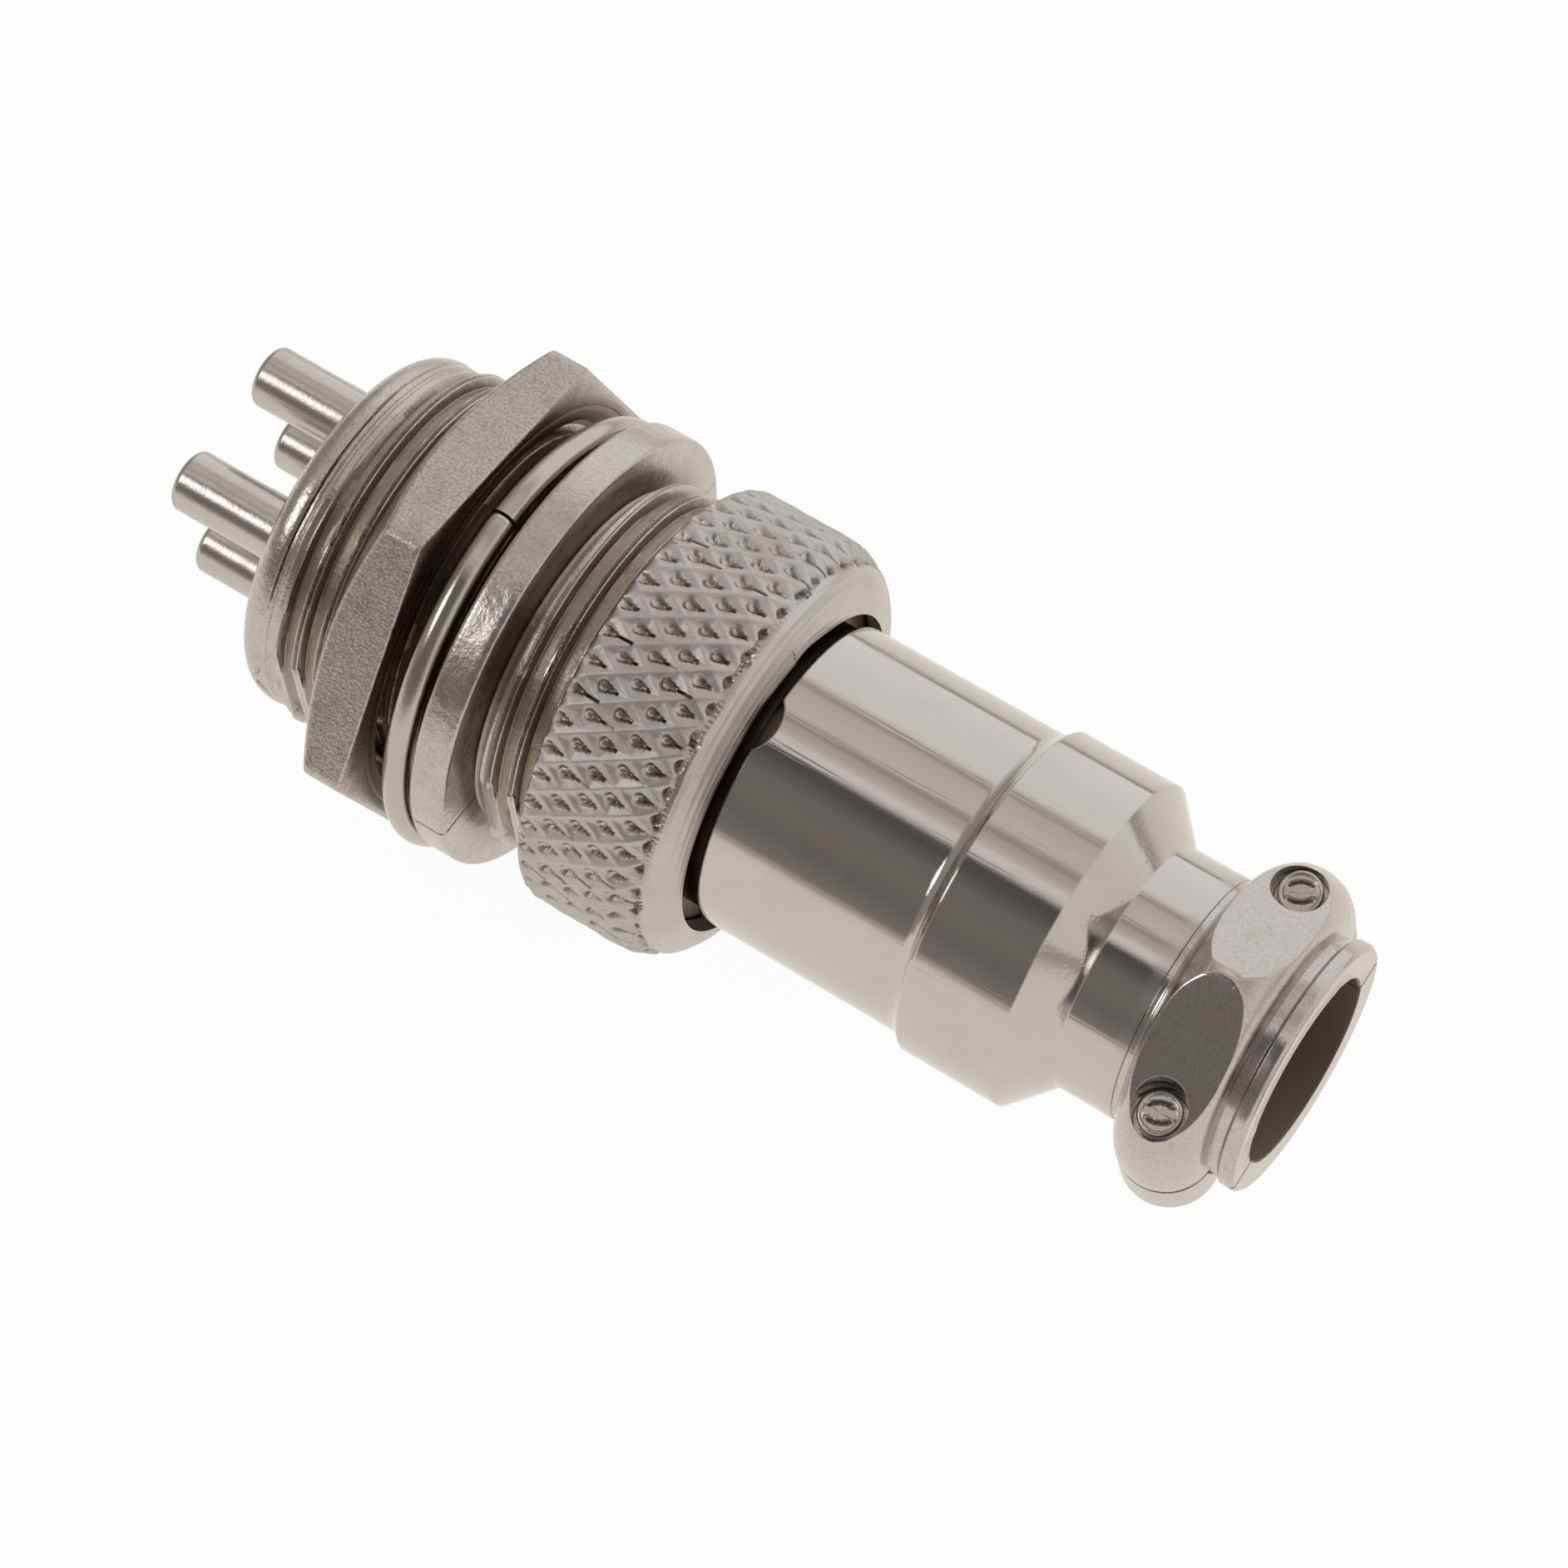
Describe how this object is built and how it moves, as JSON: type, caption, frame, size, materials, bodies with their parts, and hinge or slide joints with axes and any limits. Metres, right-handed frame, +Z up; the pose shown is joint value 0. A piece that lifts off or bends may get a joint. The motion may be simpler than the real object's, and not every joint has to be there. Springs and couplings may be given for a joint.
{
  "type": "aviation plug connector",
  "caption": "Round metal panel connector: threaded flanged socket with hex nut and lock washer, joined to a cable plug with a knurled coupling ring and a screwed cable clamp.",
  "frame": {"origin": "on the connector's axis, in the flange's rear face, which seats on the panel", "axes": "+X along the connector from the solder cups to the cable end, +Z up, with one flat of the hex nut facing straight down"},
  "size_m": [0.0499, 0.022, 0.0191],
  "materials": {
    "nickel_plate": "polished nickel plate with fine handling scratches",
    "nut_plate": "dull nickel plate, grainy, with faint brown stains",
    "spring_plate": "plated spring steel",
    "contact_metal": "silver-plated brass, satin",
    "insulator": "black moulded insulating plastic",
    "screw_steel": "plated steel"
  },
  "bodies": {
    "socket": {"socket_shell": "nickel_plate", "socket_insert": "insulator", "socket_pin_1": "contact_metal", "socket_pin_2": "contact_metal", "socket_pin_3": "contact_metal", "socket_pin_4": "contact_metal"},
    "washer": {"lock_washer": "spring_plate"},
    "nut": {"hex_nut": "nut_plate"},
    "plug": {"plug_barrel": "nickel_plate", "plug_insert": "insulator", "plug_contact_1": "contact_metal", "plug_contact_2": "contact_metal", "plug_contact_3": "contact_metal", "plug_contact_4": "contact_metal"},
    "ring": {"coupling_ring": "nickel_plate"},
    "tail": {"tail_shell": "nickel_plate"},
    "saddle": {"clamp_saddle": "nickel_plate"},
    "screw_left": {"clamp_screw_left": "screw_steel"},
    "screw_right": {"clamp_screw_right": "screw_steel"}
  },
  "joints": [
    {"name": "nut_travel", "type": "slide", "parent": "socket", "child": "washer", "axis": [-1, 0, 0], "range_m": [0, 0.011]},
    {"name": "nut_turn", "type": "hinge", "parent": "washer", "child": "nut", "pos_m": [-0.0036, 0, 0], "axis": [-1, 0, 0], "range_deg": [0, 3950]},
    {"name": "plug_travel", "type": "slide", "parent": "socket", "child": "plug", "axis": [1, 0, 0], "range_m": [0, 0.01]},
    {"name": "ring_turn", "type": "hinge", "parent": "plug", "child": "ring", "pos_m": [0.008, 0, 0], "axis": [1, 0, 0], "range_deg": [0, 3590]},
    {"name": "tail_travel", "type": "slide", "parent": "plug", "child": "tail", "axis": [1, 0, 0], "range_m": [0, 0.008]},
    {"name": "saddle_lift", "type": "slide", "parent": "tail", "child": "saddle", "axis": [0, -0.3256, 0.9455], "range_m": [0, 0.0028]},
    {"name": "screw_left_turn", "type": "hinge", "parent": "saddle", "child": "screw_left", "pos_m": [0.0316, 0.00471, 0.00162], "axis": [0, -0.3256, 0.9455], "range_deg": [0, 2520]},
    {"name": "screw_right_turn", "type": "hinge", "parent": "saddle", "child": "screw_right", "pos_m": [0.0316, -0.00471, -0.00162], "axis": [0, -0.3256, 0.9455], "range_deg": [0, 2520]}
  ],
  "couplings": [
    {"joint": "nut_travel", "follows": "nut_turn", "m_per_rad": 0.00015915},
    {"joint": "plug_travel", "follows": "ring_turn", "m_per_rad": 0.00015915},
    {"joint": "screw_left_turn", "follows": "saddle_lift", "rad_per_m": 15708},
    {"joint": "screw_right_turn", "follows": "saddle_lift", "rad_per_m": 15708}
  ]
}
